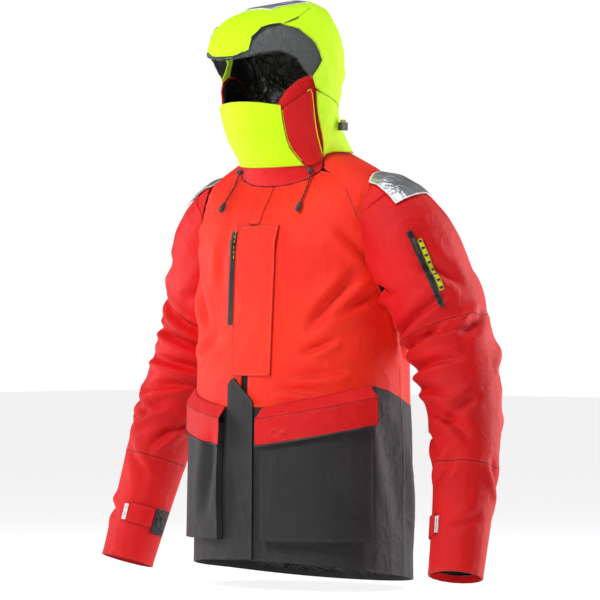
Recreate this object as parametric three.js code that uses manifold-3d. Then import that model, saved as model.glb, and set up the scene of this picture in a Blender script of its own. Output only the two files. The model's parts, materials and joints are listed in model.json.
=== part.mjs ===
// A foul weather jacket: shell, skirt, sleeves, collar, hood, pockets, zips and cords.
// Millimetres, +Z up, the chest faces -Y and the wearer's left is +X.
import * as THREE from 'three';
import { mergeVertices } from 'three/addons/utils/BufferGeometryUtils.js';
import Module from 'manifold-3d';

const wasm = await Module();
wasm.setup();

// ---- driving dimensions ----

const seamGap = 0.4;
const coverGap = 0.95;
const sleeveSeat = 3.4;
const collarCover = 1.8;
const neckCover = 3.2;
const shellCloth = 3;
const trimCloth = 1.2;
const liningCloth = 1.5;
const liningDepth = shellCloth + 4.5;

const hemFront = 50;
const hemBack = 0;
const waistSide = 335;
const waistRise = 40;
const waistPeakAngle = 78;
const waistPeakWidth = 24;
const necklineFront = 746;
const necklineBack = 812;
const sideSeam = 100;
const sideSeamGap = 0.1;
const yokeFrom = 36.5;
const torsoRoundness = 2.3;
const torsoStep = 10;
const bodyCoreBottom = -15;
const bodyCoreTop = 815;
const collarStep = 12;
const collarRows = 10;

// height, half width, depth in front, depth behind, middle
const torsoSections = [
  [-20, 222, 168, 168, 0],
  [50, 222, 168, 168, 0],
  [389, 214, 164, 165, 0],
  [430, 214, 161.5, 164.6, 0],
  [520, 214, 156.1, 163, 0],
  [620, 215.3, 150.1, 156.5, 0],
  [650, 216, 148.3, 153, 0],
  [700, 217, 126, 142, 0],
  [743, 213, 96, 121, -2],
  [760, 201, 80, 112, -3],
  [775, 178, 68, 105, -4],
  [788, 150, 63, 99, -6],
  [800, 118, 62, 93, -8],
  [812, 96, 62, 88, -10],
  [830, 92, 62, 85, -12],
];

const collarSections = [
  [740, 92, 92, 84, -8],
  [780, 95, 95, 86, -20],
  [830, 106, 110, 84, -42],
  [890, 111, 113, 82, -60],
  [970, 112, 114, 84, -62],
];

const hoodSections = [
  [740, 98, 98, 94, -8],
  [790, 101, 102, 97, -14],
  [824, 109, 110, 99, -26],
  [884, 118, 120, 90, -60],
  [947, 121, 150, 112, -60],
  [985, 124, 166, 113, -60],
  [1012, 121, 162, 111, -60],
  [1045, 107, 138, 105, -60],
  [1073, 84, 92, 92, -56],
  [1090, 57, 55, 58, -22],
  [1098, 30, 26, 28, -2],
  [1101, 8, 7, 7, 2],
];
const hoodTop = 1101;
const hoodWallBottom = 790;

// side outline of the face opening: across the chest, height
const faceOpening = [
  [-420, 700], [-420, 985], [-221, 985], [-209, 998], [-200, 1022], [-180, 1041], [-150, 1049],
  [-118, 1038], [-92, 1012], [-79, 981], [-88, 966], [-100, 950], [-92, 930], [-66, 914],
  [-58, 890], [-58, 840], [-52, 800], [-48, 700],
];
const windowTop = [[-100, 945], [-84, 950], [-72, 981], [-84, 1018], [-112, 1046], [-150, 1057],
  [-186, 1048], [-206, 1036], [-260, 1036]];
const windowHem = [[-260, 981], [-222, 981], [-196, 992], [-165, 998], [-135, 985], [-115, 962]];

const hoodHinge = { y: 34, z: 882 };
const hoodFoldFront = { y: -70, z: 917 };
const peakSeamLow = { y: -150, z: 1044 };
const peakSeamHigh = { y: -5, z: 1104 };
const hoodReflectorLow = [-36, -128, 1030];
const hoodReflectorHigh = [36, -22, 1130];
const bindingWidth = 3;
const bindingExtra = 0.8;

// sleeve middle line on the wearer's left, and its half width and half depth along it
const sleeveLine = [
  [150, 10, 712], [190, 16, 700], [232, 25, 652], [268, 45, 570], [307, 58, 478],
  [348, 48, 384], [381, 25, 289], [402, -10, 157], [416, -47, 30],
];
const sleeveWidths = [
  [0, 60, 64], [0.07, 78, 84], [0.16, 90, 96], [0.28, 86, 92], [0.4, 80, 86],
  [0.53, 73, 78], [0.66, 63, 66], [0.83, 57, 56], [1, 54, 48],
];
const elbowSeam = 0.385;
const forearmSeam = 0.735;
const sleeveSeamShare = 0.0006;
const sleeveSides = 16;
const armholeReach = 0.45;
const innerCuffFrom = 0.9;
const innerCuffTo = 0.985;
const innerCuffCloth = 2;
const innerCuffTaper = 9;

const placketFrom = -8;
const placketTo = 4.6;
const placketPeak = 392;
const placketLow = 338;
const placketHemRise = 2;

const pocketFrom = 11;
const pocketTo = 74;
const pocketBottom = 88;
const pocketMouthDrop = 30;
const pocketDepth = 26;
const flapReach = 72;
const flapTopFront = 336;
const flapTopSide = 376;
const flapCloth = 3;

const zipHalfWidth = 10;
const zipGap = 1.3;
const slotHalfWidth = 8;
const zipBottom = 66;
const zipTop = 704;
const zipSliderHeight = 606;
const zipSliderLength = 26;
const mainSlider = { halfWidth: 5, thickness: 2.4, pull: 16 };
const chestSlider = { halfWidth: 3, length: 14, thickness: 2.6, pull: 22 };
const armSlider = { halfWidth: 3.5, length: 14, thickness: 2.6, pull: 20 };

const stormFlapFrom = -5.6;
const stormFlapTo = 14;
const stormFlapBottom = 394;
const stormFlapTop = 674;
const chestZipAngle = -9;
const chestZipHalf = 1.5;
const chestZipBottom = 488;
const chestZipTop = 664;
const chestSliderHeight = 640;

const maskFrom = -60;
const maskTo = 42;
const maskBottom = 782;
const maskTop = 904;
const cheekFrom = 43.5;
const cheekTo = 73;
const cheekBottom = 786;
const cheekTopFront = 890;
const cheekTopBack = 930;
const maskTopDip = 16;
const maskBottomRise = 8;
const maskCurveAngle = 60;
const hoodNeckFrom = 78;

const reflectorFrom = -26;
const reflectorTo = 42;
const reflectorStart = 0.025;
const reflectorEnd = 0.095;

const armZipAngle = 46;
const armZipHalf = 3.4;
const armZipFrom = 0.15;
const armZipTo = 0.345;
const armTapeGap = 0.6;
const armTapeWidth = 6.5;

const tabFrom = 106;
const tabTo = 160;
const tabStart = 0.862;
const tabEnd = 0.912;
const tabGripWidth = 9;
const gussetGap = 3;
const gussetWidth = 42;

const cordRadius = 1.5;
const cordEndLength = 22;
const cordEndRadius = 5;
const cordLockPlace = { x: 115.2, y: -16, z: 860 };
const lockTravel = 3;
// where each drawcord hangs on the wearer's left
const cordRoute = [[90, -81, 772], [91, -84, 762], [93, -91, 748], [95, -102.5, 732], [96, -113, 718]];

// the hanger loop inside the back of the neck carries the jacket
const hangPoint = new THREE.Vector3(0, 65.9, 800);

// ---- cloth colours ----

function cloth(color, roughness = 0.8, metalness = 0) {
  return new THREE.MeshStandardMaterial({ color, roughness, metalness });
}

const orangeRed = cloth(0xf03a1e);
const deepRed = cloth(0xd41a16);
const fluoro = cloth(0xc6fa00);
const charcoal = cloth(0x2e2e30);
const blackLining = cloth(0x131315);
const zipBlack = cloth(0x1a1a1c, 0.5);
const reflective = cloth(0xd8dadc, 0.35);
const clearFilm = cloth(0xe4e8ea, 0.1);
const yellowTape = cloth(0xe8e000);
const cordBlack = cloth(0x201a18);

// ---- solids ----

function toSolid(geometry) {
  const bare = geometry.clone();
  bare.deleteAttribute('normal');
  bare.deleteAttribute('uv');
  const merged = mergeVertices(bare, 1e-4);
  const vertProperties = new Float32Array(merged.attributes.position.array);
  const triVerts = new Uint32Array(merged.index.array);
  return new wasm.Manifold(new wasm.Mesh({ numProp: 3, vertProperties, triVerts }));
}

function toGeometry(solid) {
  const mesh = solid.getMesh();
  const geometry = new THREE.BufferGeometry();
  geometry.setAttribute('position', new THREE.BufferAttribute(new Float32Array(mesh.vertProperties), 3));
  geometry.setIndex(Array.from(mesh.triVerts));
  return geometry;
}

function cut(from, ...tools) {
  let solid = toSolid(from);
  for (const tool of tools) {
    solid = solid.subtract(toSolid(tool));
  }
  return toGeometry(solid);
}

function keepInside(from, region) {
  return toGeometry(toSolid(from).intersect(toSolid(region)));
}

function joinAll(...geometries) {
  let solid = toSolid(geometries[0]);
  for (const other of geometries.slice(1)) {
    solid = solid.add(toSolid(other));
  }
  return toGeometry(solid);
}

function mirrored(geometry) {
  const copy = toGeometry(toSolid(geometry));
  copy.scale(-1, 1, 1);
  const index = copy.index.array;
  for (let i = 0; i < index.length; i += 3) {
    const swap = index[i + 1];
    index[i + 1] = index[i + 2];
    index[i + 2] = swap;
  }
  return copy;
}

// Builds a closed mesh from points, leaving out triangles that have shrunk to a line.
function meshFrom(points, triangles) {
  const geometry = new THREE.BufferGeometry();
  const flat = points.flatMap((p) => [p.x, p.y, p.z]);
  geometry.setAttribute('position', new THREE.BufferAttribute(new Float32Array(flat), 3));
  geometry.setIndex(triangles.flat());
  const merged = mergeVertices(geometry, 1e-4);
  const kept = [];
  for (let i = 0; i < merged.index.count; i += 3) {
    const [a, b, c] = [0, 1, 2].map((k) => merged.index.array[i + k]);
    if (a !== b && b !== c && a !== c) {
      kept.push(a, b, c);
    }
  }
  merged.setIndex(kept);
  return merged;
}

// A sheet of cloth with thickness: surfaceAt(u, v, depth) gives a point under the outer face.
function clothSheet(surfaceAt, across, along, from, to, closed = false) {
  const points = [];
  const triangles = [];
  const row = across + 1;
  const layer = row * (along + 1);
  for (const depth of [from, to]) {
    for (let j = 0; j <= along; j += 1) {
      for (let i = 0; i <= across; i += 1) {
        points.push(surfaceAt(i / across, j / along, depth));
      }
    }
  }
  const quad = (a, b, c, d) => triangles.push([a, b, c], [a, c, d]);
  for (let j = 0; j < along; j += 1) {
    for (let i = 0; i < across; i += 1) {
      const a = j * row + i;
      quad(a, a + 1, a + row + 1, a + row);
      quad(layer + a, layer + a + row, layer + a + row + 1, layer + a + 1);
    }
  }
  for (let i = 0; i < across; i += 1) {
    const top = along * row + i;
    quad(i, layer + i, layer + i + 1, i + 1);
    quad(top, top + 1, layer + top + 1, layer + top);
  }
  for (let j = 0; j < along && !closed; j += 1) {
    const left = j * row;
    const right = left + across;
    quad(left, left + row, layer + left + row, layer + left);
    quad(right, layer + right, layer + right + row, right + row);
  }
  return meshFrom(points, triangles);
}

// A filled body from rings: ringAt(u, v) goes once round as u runs from 0 to 1.
function filledBody(ringAt, around, along) {
  const points = [];
  const triangles = [];
  for (let j = 0; j <= along; j += 1) {
    for (let i = 0; i < around; i += 1) {
      points.push(ringAt(i / around, j / along));
    }
  }
  const middle = (j) => {
    const ring = points.slice(j * around, (j + 1) * around);
    return ring.reduce((sum, p) => sum.add(p), new THREE.Vector3()).divideScalar(around);
  };
  const low = points.length;
  points.push(middle(0), middle(along));
  for (let j = 0; j < along; j += 1) {
    for (let i = 0; i < around; i += 1) {
      const a = j * around + i;
      const b = j * around + (i + 1) % around;
      triangles.push([a, b, b + around], [a, b + around, a + around]);
    }
  }
  for (let i = 0; i < around; i += 1) {
    const next = (i + 1) % around;
    triangles.push([low, next, i]);
    triangles.push([low + 1, along * around + i, along * around + next]);
  }
  return meshFrom(points, triangles);
}

// A slab through the whole width of the jacket with the given side outline.
function sideProfile(outline, halfWidth = 300) {
  const shape = new THREE.Shape(outline.map(([y, z]) => new THREE.Vector2(y, z)));
  const slab = new THREE.ExtrudeGeometry(shape, { depth: 2 * halfWidth, bevelEnabled: false });
  slab.translate(0, 0, -halfWidth);
  slab.applyMatrix4(new THREE.Matrix4().set(0, 0, 1, 0, 1, 0, 0, 0, 0, 1, 0, 0, 0, 0, 0, 1));
  return slab;
}

function boxBetween(low, high) {
  const size = new THREE.Vector3(...high).sub(new THREE.Vector3(...low));
  const geometry = new THREE.BoxGeometry(size.x, size.y, size.z);
  geometry.translate((low[0] + high[0]) / 2, (low[1] + high[1]) / 2, (low[2] + high[2]) / 2);
  return geometry;
}

// ---- surfaces ----

const rad = THREE.MathUtils.degToRad;
const lerp = THREE.MathUtils.lerp;

// Smooth values between the rows of a table whose first column rises.
function between(table, at) {
  let i = 1;
  while (i < table.length - 2 && table[i + 1][0] < at) {
    i += 1;
  }
  if (at < table[1][0]) {
    i = 0;
  }
  const [p1, p2] = [table[i], table[i + 1]];
  const p0 = table[Math.max(i - 1, 0)];
  const p3 = table[Math.min(i + 2, table.length - 1)];
  const t = THREE.MathUtils.clamp((at - p1[0]) / (p2[0] - p1[0]), 0, 1);
  const span = p2[0] - p1[0];
  return p1.slice(1).map((value, k) => {
    const c = k + 1;
    const slopeIn = (p2[c] - p0[c]) / (p2[0] - p0[0]);
    const slopeOut = (p3[c] - p1[c]) / (p3[0] - p1[0]);
    const t2 = t * t;
    const t3 = t2 * t;
    return (2 * t3 - 3 * t2 + 1) * p1[c] + (t3 - 2 * t2 + t) * span * slopeIn
      + (3 * t2 - 2 * t3) * p2[c] + (t3 - t2) * span * slopeOut;
  });
}

// Angle 0 is the centre front, 90 the wearer's left side and 180 the back.
function sectionPoint(table, roundness, angle, height, depth) {
  const [halfWidth, front, back, middle] = between(table, height);
  const s = Math.sin(rad(angle));
  const c = Math.cos(rad(angle));
  const power = 2 / roundness;
  const deep = Math.max((c > 0 ? front : back) - depth, 1);
  const x = Math.max(halfWidth - depth, 1) * Math.sign(s) * Math.abs(s) ** power;
  const y = middle - deep * Math.sign(c) * Math.abs(c) ** power;
  return new THREE.Vector3(x, y, height);
}

// On the shoulders, which lie nearly flat, the inner face is drawn down as well as in.
function torsoPoint(angle, height, depth) {
  const point = sectionPoint(torsoSections, torsoRoundness, angle, height, depth);
  point.z -= depth * THREE.MathUtils.smoothstep(height, 700, 790) * 0.7;
  return point;
}

// The wall's inner face is drawn in under the crown as well as from the sides.
function hoodPoint(angle, height, depth) {
  const point = sectionPoint(hoodSections, 2, angle, height, depth);
  point.z -= depth * THREE.MathUtils.smoothstep(height, 960, hoodTop);
  return point;
}

function neckline(angle) {
  const turn = Math.min(Math.abs(foldAngle(angle)) * 1.9, 180);
  const share = (1 + Math.cos(rad(turn))) / 2;
  return necklineBack - (necklineBack - necklineFront) * share * share;
}

// The same angle between -180 and 180.
function foldAngle(angle) {
  return ((angle + 180) % 360 + 360) % 360 - 180;
}

function hemLine(angle) {
  return lerp(hemBack, hemFront, (1 + Math.cos(rad(angle))) / 2);
}

// The seam between the red body and the charcoal skirt.
function waistLine(angle) {
  const turn = Math.abs(foldAngle(angle));
  const bump = Math.exp(-(((turn - waistPeakAngle) / waistPeakWidth) ** 2));
  return waistSide + waistRise * bump;
}

// The seam where the shoulder yoke starts, from the collar down to the armhole and round the back.
function yokeLine(angle) {
  const turn = Math.abs(foldAngle(angle));
  if (turn < 34) {
    return necklineBack + 60;
  }
  return between([[34, 786], [50, 738], [74, 650], [100, 622], [140, 668], [180, 690]], turn)[0];
}

function collarTop(angle) {
  const turn = Math.abs(foldAngle(angle));
  return between([[0, 862], [30, 880], [50, 930], [66, 950], [90, 954], [130, 900], [180, 886]], turn)[0];
}

// The torso angle that lies under a collar angle at the neck seam.
function neckAngle(angle) {
  const turn = Math.abs(foldAngle(angle));
  const under = between([[0, 0], [30, 18], [57, 36], [77, 50], [100, 84], [130, 129], [180, 180]], turn)[0];
  return foldAngle(angle) < 0 ? -under : under;
}

function collarBase(angle) {
  return neckline(neckAngle(angle)) + 1.2;
}

function collarPoint(angle, height, depth) {
  const base = collarBase(angle);
  const share = THREE.MathUtils.clamp((height - base) / 60, 0, 1);
  const pull = (1 - share) ** 2;
  const neck = torsoPoint(neckAngle(angle), base, depth);
  const point = sectionPoint(collarSections, 2, angle, height, depth);
  point.x = lerp(point.x, neck.x, pull);
  point.y = lerp(point.y, neck.y, pull);
  return point;
}

const sleevePath = new THREE.CatmullRomCurve3(sleeveLine.map((p) => new THREE.Vector3(...p)));
sleevePath.arcLengthDivisions = 400;

// Angle 0 faces away from the body and 90 faces forward.
function sleevePoint(angle, along, depth) {
  const middle = sleevePath.getPointAt(THREE.MathUtils.clamp(along, 0, 1));
  const down = sleevePath.getTangentAt(THREE.MathUtils.clamp(along, 0, 1));
  const forward = new THREE.Vector3(0, -1, 0);
  const outward = new THREE.Vector3().crossVectors(forward, down).normalize();
  forward.crossVectors(down, outward).normalize();
  const [halfWidth, halfDepth] = between(sleeveWidths, along);
  middle.addScaledVector(outward, (halfWidth - depth) * Math.cos(rad(angle)));
  return middle.addScaledVector(forward, (halfDepth - depth) * Math.sin(rad(angle)));
}

// ---- body ----

// Angles from one end to the other that keep to a shared grid, so that seams meet along one line.
function gridAngles(fromAngle, toAngle, step) {
  const angles = [fromAngle];
  for (let angle = Math.ceil((fromAngle + 0.5) / step) * step; angle < toAngle - 0.5; angle += step) {
    angles.push(angle);
  }
  return [...angles, toAngle];
}

// A sheet on the grid: pointAt(angle, v, depth), with v from the low edge to the high one.
function gridSheet(pointAt, fromAngle, toAngle, step, along, from, to, closed = false) {
  const angles = gridAngles(fromAngle, toAngle, step);
  const surfaceAt = (u, v, depth) => pointAt(angles[Math.round(u * (angles.length - 1))], v, depth);
  return clothSheet(surfaceAt, angles.length - 1, along, from, to, closed);
}

// A torso panel between two angles, from one height line to another.
function torsoPanel(fromAngle, toAngle, low, high, step, along, from, to) {
  const pointAt = (angle, v, depth) => torsoPoint(angle, lerp(low(angle), high(angle), v), depth);
  return gridSheet(pointAt, fromAngle, toAngle, step, along, from, to);
}

function angleAtX(x, height) {
  const [halfWidth] = between(torsoSections, height);
  return THREE.MathUtils.radToDeg(Math.asin((x / halfWidth) ** (torsoRoundness / 2)));
}

function armhole() {
  const ringAt = (u, v) => sleevePoint(360 * u, lerp(0, armholeReach, v), shellCloth + 1);
  return filledBody(ringAt, sleeveSides, 8);
}

function bodyCore(depth, top) {
  const ringAt = (u, v) => torsoPoint(360 * u, lerp(bodyCoreBottom, top, v), depth);
  return filledBody(ringAt, 36, 24);
}

const leftArmhole = armhole();
const rightArmhole = mirrored(leftArmhole);

function frontPanel() {
  const start = angleAtX(slotHalfWidth, 400);
  const low = (angle) => waistLine(angle) + seamGap / 2;
  const high = (angle) => Math.min(neckline(angle), yokeLine(angle) - seamGap / 2);
  const panel = torsoPanel(start, sideSeam - sideSeamGap, low, high, torsoStep, 10, 0, shellCloth);
  return cut(panel, leftArmhole);
}

function backPanel() {
  const low = (angle) => waistLine(angle) + seamGap / 2;
  const high = (angle) => yokeLine(angle) - seamGap / 2;
  const panel = torsoPanel(sideSeam + sideSeamGap, 360 - sideSeamGap - sideSeam, low, high,
    torsoStep, 8, 0, shellCloth);
  return cut(panel, leftArmhole, rightArmhole);
}

function shoulderYoke() {
  const low = (angle) => yokeLine(angle) + seamGap / 2;
  const panel = torsoPanel(yokeFrom, 360 - yokeFrom, low, neckline, torsoStep, 6, 0, shellCloth);
  return cut(panel, leftArmhole, rightArmhole);
}

function skirtPanel() {
  const start = angleAtX(slotHalfWidth, 200);
  const high = (angle) => waistLine(angle) - seamGap / 2;
  return torsoPanel(start, sideSeam - sideSeamGap, hemLine, high, torsoStep, 4, 0, shellCloth);
}

function skirtBack() {
  const high = (angle) => waistLine(angle) - seamGap / 2;
  return torsoPanel(sideSeam + sideSeamGap, 360 - sideSeamGap - sideSeam, hemLine, high, torsoStep,
    4, 0, shellCloth);
}

function bodyLining() {
  const pointAt = (angle, v, depth) => {
    const away = THREE.MathUtils.smoothstep(Math.abs(foldAngle(angle)), 12, 40);
    const outward = v > 0 ? 0 : (liningDepth - shellCloth - 1.5) * away;
    const height = lerp(hemLine(angle) + 12, neckline(angle) - 3, v ** 0.6);
    return torsoPoint(angle, height, depth - outward);
  };
  const ring = gridSheet(pointAt, 0, 360, 15, 11, liningDepth, liningDepth + liningCloth, true);
  return cut(ring, leftArmhole, rightArmhole);
}

function placketStrip() {
  const low = () => hemFront + placketHemRise;
  const high = (angle) => lerp(placketPeak, placketLow, Math.abs(angle + 5) / 11);
  return torsoPanel(placketFrom, placketTo, low, high, 1.5, 6, -shellCloth - coverGap, -coverGap);
}

function mainZip() {
  const spread = angleAtX(zipHalfWidth, 400);
  return torsoPanel(-spread, spread, () => zipBottom, () => zipTop, 6, 14,
    shellCloth + zipGap, shellCloth + zipGap + trimCloth);
}

function zipSlider(pathPoint, { halfWidth, length, thickness, pull: drop }) {
  const top = pathPoint(0);
  const down = pathPoint(1).clone().sub(top).normalize();
  const side = pathPoint(0, 1).clone().sub(top).normalize();
  const out = new THREE.Vector3().crossVectors(side, down).normalize();
  const body = new THREE.BoxGeometry(2 * halfWidth, length, thickness);
  const pull = new THREE.BoxGeometry(halfWidth, drop, thickness / 2);
  pull.translate(0, length / 2 + drop / 2 - 1, 0);
  const frame = new THREE.Matrix4().makeBasis(side, down, out);
  const whole = joinAll(body, pull);
  whole.applyMatrix4(frame);
  whole.translate(top.x, top.y, top.z);
  return whole;
}

function mainZipSlider() {
  const middleDepth = shellCloth - 0.7;
  const pathPoint = (t, aside = 0) => torsoPoint(aside * 2, lerp(zipSliderHeight, 450, t), middleDepth);
  return zipSlider(pathPoint, { ...mainSlider, length: zipSliderLength });
}

function stormFlap() {
  return torsoPanel(stormFlapFrom, stormFlapTo, () => stormFlapBottom, () => stormFlapTop, 3.5, 9,
    -shellCloth - coverGap, -coverGap);
}

function chestZip() {
  return torsoPanel(chestZipAngle - chestZipHalf, chestZipAngle + chestZipHalf,
    () => chestZipBottom, () => chestZipTop, 1.5, 6, -trimCloth - seamGap, -seamGap);
}

function chestZipSlider() {
  const middleDepth = -trimCloth - 2 * seamGap - 1.5;
  const pathPoint = (t, aside = 0) => torsoPoint(chestZipAngle + aside,
    lerp(chestSliderHeight, chestZipBottom + 20, t), middleDepth);
  return zipSlider(pathPoint, chestSlider);
}

// ---- sleeves ----

function sleeveRing(start, end, along, from, to) {
  const surfaceAt = (u, v, depth) => sleevePoint(360 * u, lerp(start, end, v), depth);
  return clothSheet(surfaceAt, sleeveSides, along, from, to, true);
}

function sleevePatch(fromAngle, toAngle, start, end, across, along, from, to) {
  const surfaceAt = (u, v, depth) => sleevePoint(lerp(fromAngle, toAngle, u), lerp(start, end, v), depth);
  return clothSheet(surfaceAt, across, along, from, to);
}

function upperSleeve() {
  return cut(sleeveRing(0, elbowSeam, 8, 0, shellCloth), bodyCore(-sleeveSeat, bodyCoreTop));
}

function elbowSleeve() {
  return sleeveRing(elbowSeam + sleeveSeamShare, forearmSeam, 6, 0, shellCloth);
}

function forearmSleeve() {
  return sleeveRing(forearmSeam + sleeveSeamShare, 1, 4, 0, shellCloth);
}

function innerCuff() {
  const surfaceAt = (u, v, depth) => {
    const inward = lerp(0, innerCuffTaper, v);
    return sleevePoint(360 * u, lerp(innerCuffFrom, innerCuffTo, v), depth + inward);
  };
  const outerDepth = shellCloth + seamGap;
  return clothSheet(surfaceAt, sleeveSides, 3, outerDepth, outerDepth + innerCuffCloth, true);
}

function cuffTab() {
  return sleevePatch(tabFrom, tabTo, tabStart, tabEnd, 6, 2, -shellCloth - seamGap, -seamGap);
}

function cuffTabGrip() {
  return sleevePatch(tabFrom - tabGripWidth, tabFrom - 0.5, tabStart + 0.006, tabEnd - 0.004, 2, 2,
    -shellCloth - seamGap, -seamGap);
}

function cuffGusset() {
  return sleevePatch(tabTo + gussetGap, tabTo + gussetWidth, tabStart - 0.004, tabEnd + 0.012, 4, 2,
    -trimCloth - seamGap, -seamGap);
}

function shoulderReflector() {
  const patch = sleevePatch(reflectorFrom, reflectorTo, reflectorStart, reflectorEnd, 6, 3,
    -trimCloth - coverGap, -coverGap);
  return cut(patch, bodyCore(-sleeveSeat, bodyCoreTop));
}

function armZip() {
  return sleevePatch(armZipAngle - armZipHalf, armZipAngle + armZipHalf, armZipFrom, armZipTo, 2, 8,
    -trimCloth - seamGap, -seamGap);
}

function armZipSlider() {
  const middleDepth = -trimCloth - 2 * seamGap - 2;
  const pathPoint = (t, aside = 0) => sleevePoint(armZipAngle - aside,
    lerp(armZipFrom + 0.02, armZipTo - 0.03, t), middleDepth);
  return zipSlider(pathPoint, armSlider);
}

function armZipTape() {
  return sleevePatch(armZipAngle - armZipHalf - armTapeWidth, armZipAngle - armZipHalf - armTapeGap,
    armZipFrom + 0.02, armZipTo - 0.04, 2, 6, -trimCloth - seamGap, -seamGap);
}

// ---- cargo pockets ----

function flapTop(angle) {
  return lerp(flapTopFront, flapTopSide, (angle - pocketFrom) / (pocketTo - pocketFrom));
}

function pocketSheet(inset, from, to, bottom, rise) {
  const high = (angle) => flapTop(angle) - pocketMouthDrop + rise;
  return torsoPanel(pocketFrom + inset, pocketTo - inset, () => bottom, high, torsoStep, 4, from, to);
}

function pocketBag() {
  const block = pocketSheet(0, -pocketDepth, -coverGap, pocketBottom, 0);
  const hollow = pocketSheet(1, -pocketDepth + shellCloth, -coverGap - 2, pocketBottom + shellCloth, 20);
  return cut(block, hollow);
}

function pocketFlap() {
  const surfaceAt = (u, v, depth) => {
    const angle = lerp(pocketFrom - 1.2, pocketTo + 1.6, u);
    const lean = THREE.MathUtils.smoothstep(v, 0, 0.3) * (pocketDepth + coverGap);
    return torsoPoint(angle, flapTop(angle) - flapReach * v, depth - lean);
  };
  const flipped = (u, v, depth) => surfaceAt(u, 1 - v, depth);
  return clothSheet(flipped, 8, 7, -flapCloth - coverGap, -coverGap);
}

// ---- collar, mask and hood ----

function collarSheet(fromAngle, toAngle, low, high, along, from, to, closed = false) {
  const pointAt = (angle, v, depth) => collarPoint(angle, lerp(low(angle), high(angle), v), depth);
  return gridSheet(pointAt, fromAngle, toAngle, collarStep, along, from, to, closed);
}

// The space that the collar fills, a seam gap larger all round.
function collarCore() {
  const ringAt = (u, v) => {
    const angle = 360 * u;
    return collarPoint(angle, lerp(collarBase(angle), collarTop(angle), v), -seamGap);
  };
  return filledBody(ringAt, 360 / collarStep, collarRows);
}

function collarShell() {
  return collarSheet(0, 360, collarBase, collarTop, collarRows, 0, shellCloth, true);
}

function collarLining() {
  const low = (angle) => collarBase(angle) + 14;
  const high = (angle) => collarTop(angle) - 3;
  const depth = shellCloth + collarCover;
  return collarSheet(0, 360, low, high, 8, depth, depth + liningCloth, true);
}

function faceMask() {
  const high = (angle) => maskTop - maskTopDip * (angle / maskCurveAngle) ** 2;
  const curve = (angle) => maskBottom + maskBottomRise * (angle / maskCurveAngle) ** 2;
  const low = (angle) => Math.max(curve(angle), collarBase(angle) + 5);
  return collarSheet(maskFrom, maskTo, low, high, 7, -shellCloth - collarCover, -collarCover);
}

function cheekFlap() {
  const low = (angle) => Math.max(cheekBottom, collarBase(angle) + 9);
  const high = (angle) => lerp(cheekTopFront, cheekTopBack, (angle - cheekFrom) / (cheekTo - cheekFrom));
  const flap = collarSheet(cheekFrom, cheekTo, low, high, 9, -shellCloth - collarCover, -collarCover);
  return cut(flap, collarCore());
}

function hoodCore(depth, low) {
  const rows = 13;
  const ringAt = (u, v) => {
    const share = Math.max((v * rows - 1) / (rows - 1), 0) ** 0.75;
    const height = v === 0 ? low : lerp(hoodWallBottom, hoodTop, share);
    return hoodPoint(360 * u, height, depth);
  };
  return filledBody(ringAt, 24, rows);
}

function hoodWall(from, to) {
  return cut(hoodCore(from, hoodWallBottom - 10), hoodCore(to, hoodWallBottom - 30));
}

function foldHeight(y) {
  const share = (y - hoodFoldFront.y) / (hoodHinge.y - hoodFoldFront.y);
  return lerp(hoodFoldFront.z, hoodHinge.z, Math.min(share, 1));
}

// Everything behind and above the fold where the hood tips back.
function hoodRegion(gap) {
  const { y, z } = hoodHinge;
  const front = hoodFoldFront;
  return sideProfile([[-420, front.z + 60 + gap], [front.y - 60, front.z + 20 + gap],
    [front.y, front.z + gap],
    [y, z + gap], [260, z + gap], [260, 1200], [-420, 1200]]);
}

function peakRegion(gap) {
  return sideProfile([[-420, 900], [peakSeamLow.y - 30, 900], [peakSeamLow.y - gap, peakSeamLow.z],
    [peakSeamHigh.y - gap, peakSeamHigh.z], [peakSeamHigh.y - gap, 1200], [-420, 1200]]);
}

const openFace = sideProfile(faceOpening);

function movingHood() {
  return cut(keepInside(hoodWall(0, shellCloth), hoodRegion(seamGap)), openFace);
}

function hoodPeak(hood) {
  return keepInside(hood, peakRegion(seamGap));
}

function hoodBack(hood) {
  return cut(hood, peakRegion(0));
}

function hoodNeck() {
  const pointAt = (angle, v, depth) => {
    const across = hoodPoint(angle, hoodFoldFront.z, 0).y;
    const height = lerp(collarBase(angle), foldHeight(across) - seamGap, v);
    const low = collarPoint(angle, height, depth - shellCloth - neckCover);
    return low.lerp(hoodPoint(angle, height, depth), v ** 1.5);
  };
  return cut(gridSheet(pointAt, hoodNeckFrom, 360 - hoodNeckFrom, collarStep, 8, 0, shellCloth),
    collarCore());
}

function windowRegion(grow) {
  const top = windowTop.map(([y, z], i) => [y + (y > -110 ? grow : 0), z + (i === 0 ? -grow : grow)]);
  const hem = windowHem.map(([y, z]) => [y, z - grow]);
  return sideProfile([...hem, ...top]);
}

function hoodLining() {
  const wall = keepInside(hoodWall(shellCloth + seamGap, shellCloth + seamGap + liningCloth),
    hoodRegion(seamGap + 3));
  return cut(wall, sideProfile(faceOpening.map(([y, z]) => [y + (y > -150 ? 3 : 0), z])), windowRegion(6));
}

function visionWindow() {
  const wall = hoodWall(shellCloth + seamGap, shellCloth + seamGap + trimCloth);
  return keepInside(wall, windowRegion(0));
}

function windowBinding() {
  const wall = hoodWall(shellCloth + seamGap, shellCloth + seamGap + trimCloth + bindingExtra);
  const lowered = windowHem.map(([y, z]) => [y, z - seamGap]);
  const lower = windowHem.map(([y, z]) => [y, z - seamGap - bindingWidth]).reverse();
  return keepInside(wall, sideProfile([...lowered, ...lower]));
}

function hoodReflector() {
  const wall = hoodWall(-trimCloth - seamGap, -seamGap);
  return keepInside(wall, boxBetween(hoodReflectorLow, hoodReflectorHigh));
}

// ---- cords and small fittings ----

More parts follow.
